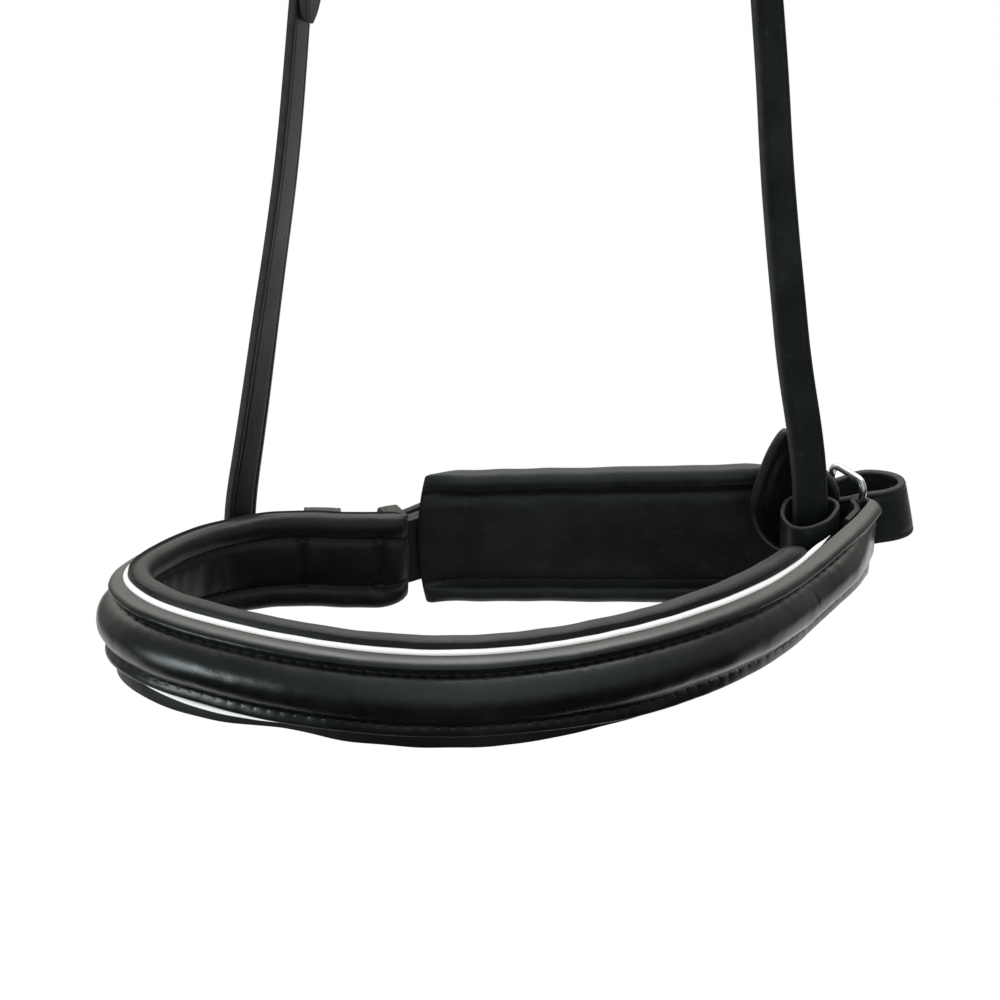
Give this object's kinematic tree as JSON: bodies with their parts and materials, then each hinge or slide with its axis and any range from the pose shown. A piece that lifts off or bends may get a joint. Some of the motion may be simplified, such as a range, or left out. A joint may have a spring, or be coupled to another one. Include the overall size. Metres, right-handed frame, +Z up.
{
  "type": "crank noseband",
  "caption": "Padded crank noseband with white piping, ring and doubled crank strap with roller buckle, padded chin piece, and a narrow headstall strap with its own buckle.",
  "frame": {"origin": "middle of the flat underside of the headpiece at the top, where it rests on the poll", "axes": "+Z up, -Y to the front of the nose, +X to the side of the ring and the turned crank strap"},
  "size_m": [0.2858, 0.1514, 0.5336],
  "materials": {
    "cover_leather": "smooth satin black",
    "strap_leather": "matte black",
    "lining_leather": "soft matte black",
    "white_piping": "white piping",
    "polished_steel": "polished",
    "felt_padding": "hidden felt filling"
  },
  "bodies": {
    "headstall": {"headpiece_strap": "strap_leather", "left_cheek_strap": "strap_leather", "head_fixed_keeper": "strap_leather"},
    "noseband": {"nosepiece_lining": "lining_leather", "nosepiece_backing_strap": "strap_leather", "nosepiece_cover": "cover_leather", "raised_padding": "felt_padding", "upper_piping": "white_piping", "lower_piping": "white_piping", "right_hanger_loop": "strap_leather", "left_hanger_loop": "strap_leather", "right_guard": "lining_leather", "crank_strap": "strap_leather", "crank_buckle_chape": "strap_leather", "crank_fixed_keeper": "strap_leather", "crank_second_keeper": "strap_leather"},
    "ring": {"right_ring": "polished_steel"},
    "crank_buckle": {"crank_buckle_frame": "polished_steel"},
    "crank_roller": {"crank_buckle_roller": "polished_steel"},
    "crank_tongue": {"crank_buckle_tongue": "polished_steel"},
    "chin_pad": {"chin_pad_cushion": "lining_leather", "chin_pad_backing": "strap_leather", "left_strap_loop": "strap_leather", "right_strap_loop": "strap_leather"},
    "head_buckle": {"head_buckle_frame": "polished_steel"},
    "head_tongue": {"head_buckle_tongue": "polished_steel"},
    "head_keeper": {"head_sliding_keeper": "strap_leather"}
  },
  "joints": [
    {"name": "noseband_swing", "type": "hinge", "parent": "headstall", "child": "noseband", "pos_m": [0.0969, -0.0029, -0.4974], "axis": [0.9978, -0.0577, 0.0326], "range_deg": [-4, 4]},
    {"name": "ring_swing", "type": "hinge", "parent": "noseband", "child": "ring", "pos_m": [0.11338, 0.01032, -0.50104], "axis": [0.0918, -0.0392, 0.995], "range_deg": [-10, 0]},
    {"name": "crank_buckle_swing", "type": "hinge", "parent": "noseband", "child": "crank_buckle", "pos_m": [-0.0225, 0.0238, -0.50159], "axis": [0, 0, 1], "range_deg": [0, 12]},
    {"name": "crank_tongue_swing", "type": "hinge", "parent": "crank_buckle", "child": "crank_tongue", "pos_m": [-0.0225, 0.0238, -0.50159], "axis": [0, 0, 1], "range_deg": [0, 25]},
    {"name": "crank_roller_spin", "type": "hinge", "parent": "crank_buckle", "child": "crank_roller", "pos_m": [-0.0045, 0.0273, -0.50159], "axis": [0, 0, 1], "continuous": true},
    {"name": "chin_pad_slide", "type": "slide", "parent": "noseband", "child": "chin_pad", "axis": [0.9983, 0.0584, 0], "range_m": [0, 0.008]},
    {"name": "head_buckle_swing", "type": "hinge", "parent": "headstall", "child": "head_buckle", "pos_m": [-0.07156, 0.00117, -0.2324], "axis": [0.1922, 0.9814, 0], "range_deg": [0, 12]},
    {"name": "head_tongue_swing", "type": "hinge", "parent": "head_buckle", "child": "head_tongue", "pos_m": [-0.07156, 0.00117, -0.2324], "axis": [0.1922, 0.9814, 0], "range_deg": [0, 25]},
    {"name": "head_keeper_slide", "type": "slide", "parent": "headstall", "child": "head_keeper", "axis": [0.1043, -0.038, 0.9938], "range_m": [-0.01, 0.004]}
  ]
}
